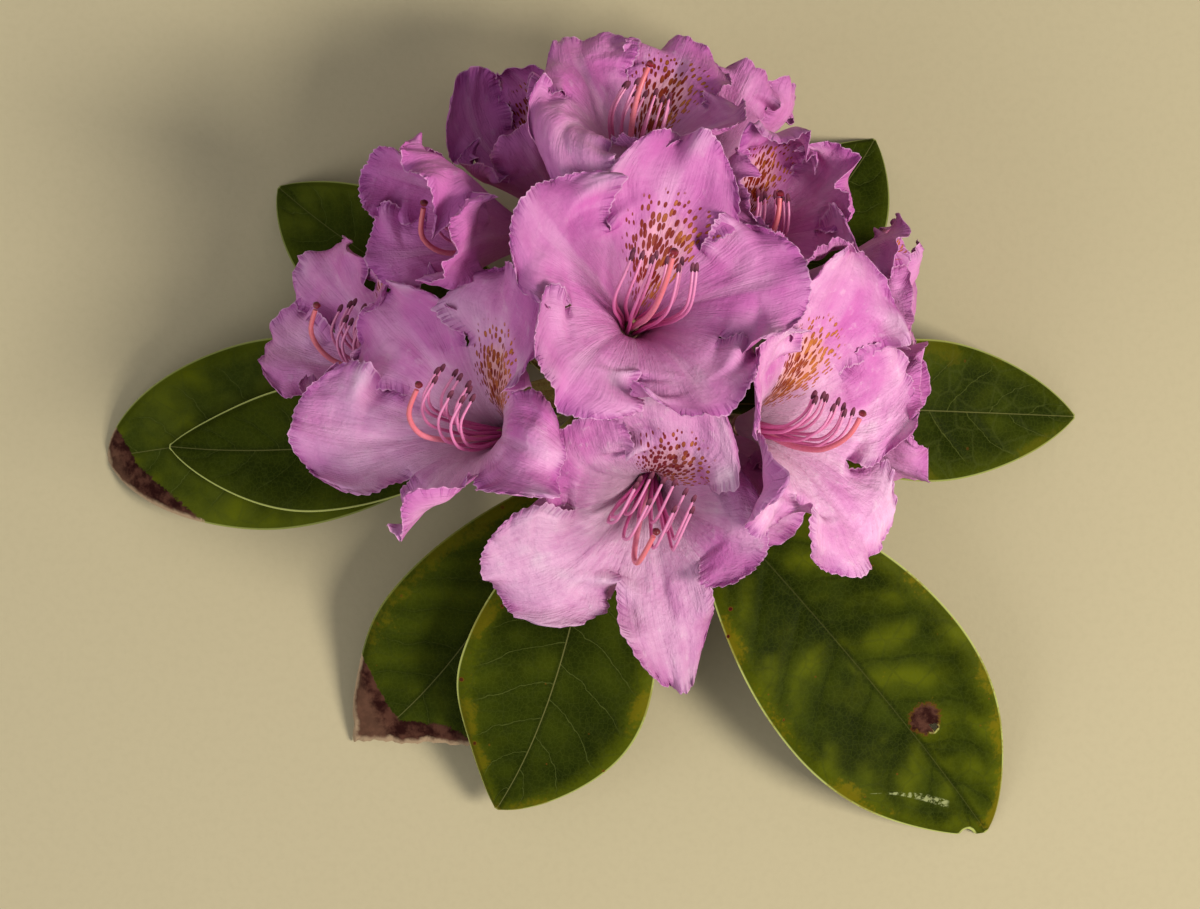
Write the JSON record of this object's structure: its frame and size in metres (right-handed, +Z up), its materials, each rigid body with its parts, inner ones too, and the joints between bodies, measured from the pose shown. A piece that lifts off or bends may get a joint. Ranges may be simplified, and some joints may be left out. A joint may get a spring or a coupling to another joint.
{
  "type": "cut rhododendron flower truss",
  "caption": "Cut flower truss of a rhododendron (azalea) with lilac-pink funnel blooms over a whorl of leathery leaves on a short cut stem.",
  "frame": {"origin": "centre of the flat cut at the foot of the stem", "axes": "+Z up the stem to the flowers, +X along the longest spread of the leaves, +Y across it"},
  "size_m": [0.2617, 0.2081, 0.1214],
  "materials": {
    "stem_bark": "rough brown-green bark",
    "truss_axis": "soft green, finely downy",
    "leaf": "leathery, glossy on top, with paler veins and margins",
    "petal": "satin, slightly translucent, veined, with spots on the upper lobe",
    "stamen": "satin filaments with dark anthers",
    "flower_stalk": "matte green, reddish on the sunny side"
  },
  "bodies": {
    "root": {"corolla_crown": "petal", "corolla_east": "petal", "corolla_far_east": "petal", "corolla_far_north_east": "petal", "corolla_far_north_west": "petal", "corolla_far_west": "petal", "corolla_low_east": "petal", "corolla_north": "petal", "corolla_north_east": "petal", "corolla_north_west": "petal", "corolla_south": "petal", "corolla_under_east": "petal", "corolla_under_south": "petal", "corolla_west": "petal", "leaf_east": "leaf", "leaf_north_east": "leaf", "leaf_north_west": "leaf", "leaf_south": "leaf", "leaf_south_east": "leaf", "leaf_south_west": "leaf", "leaf_west": "leaf", "leaf_west_low": "leaf", "stalk_crown": "flower_stalk", "stalk_east": "flower_stalk", "stalk_far_east": "flower_stalk", "stalk_far_north_east": "flower_stalk", "stalk_far_north_west": "flower_stalk", "stalk_far_west": "flower_stalk", "stalk_low_east": "flower_stalk", "stalk_north": "flower_stalk", "stalk_north_east": "flower_stalk", "stalk_north_west": "flower_stalk", "stalk_south": "flower_stalk", "stalk_under_east": "flower_stalk", "stalk_under_south": "flower_stalk", "stalk_west": "flower_stalk", "stamens_crown": "stamen", "stamens_east": "stamen", "stamens_far_east": "stamen", "stamens_far_north_east": "stamen", "stamens_far_north_west": "stamen", "stamens_far_west": "stamen", "stamens_low_east": "stamen", "stamens_north": "stamen", "stamens_north_east": "stamen", "stamens_north_west": "stamen", "stamens_south": "stamen", "stamens_under_east": "stamen", "stamens_under_south": "stamen", "stamens_west": "stamen", "stem": "stem_bark", "truss_axis": "truss_axis"}
  },
  "joints": []
}
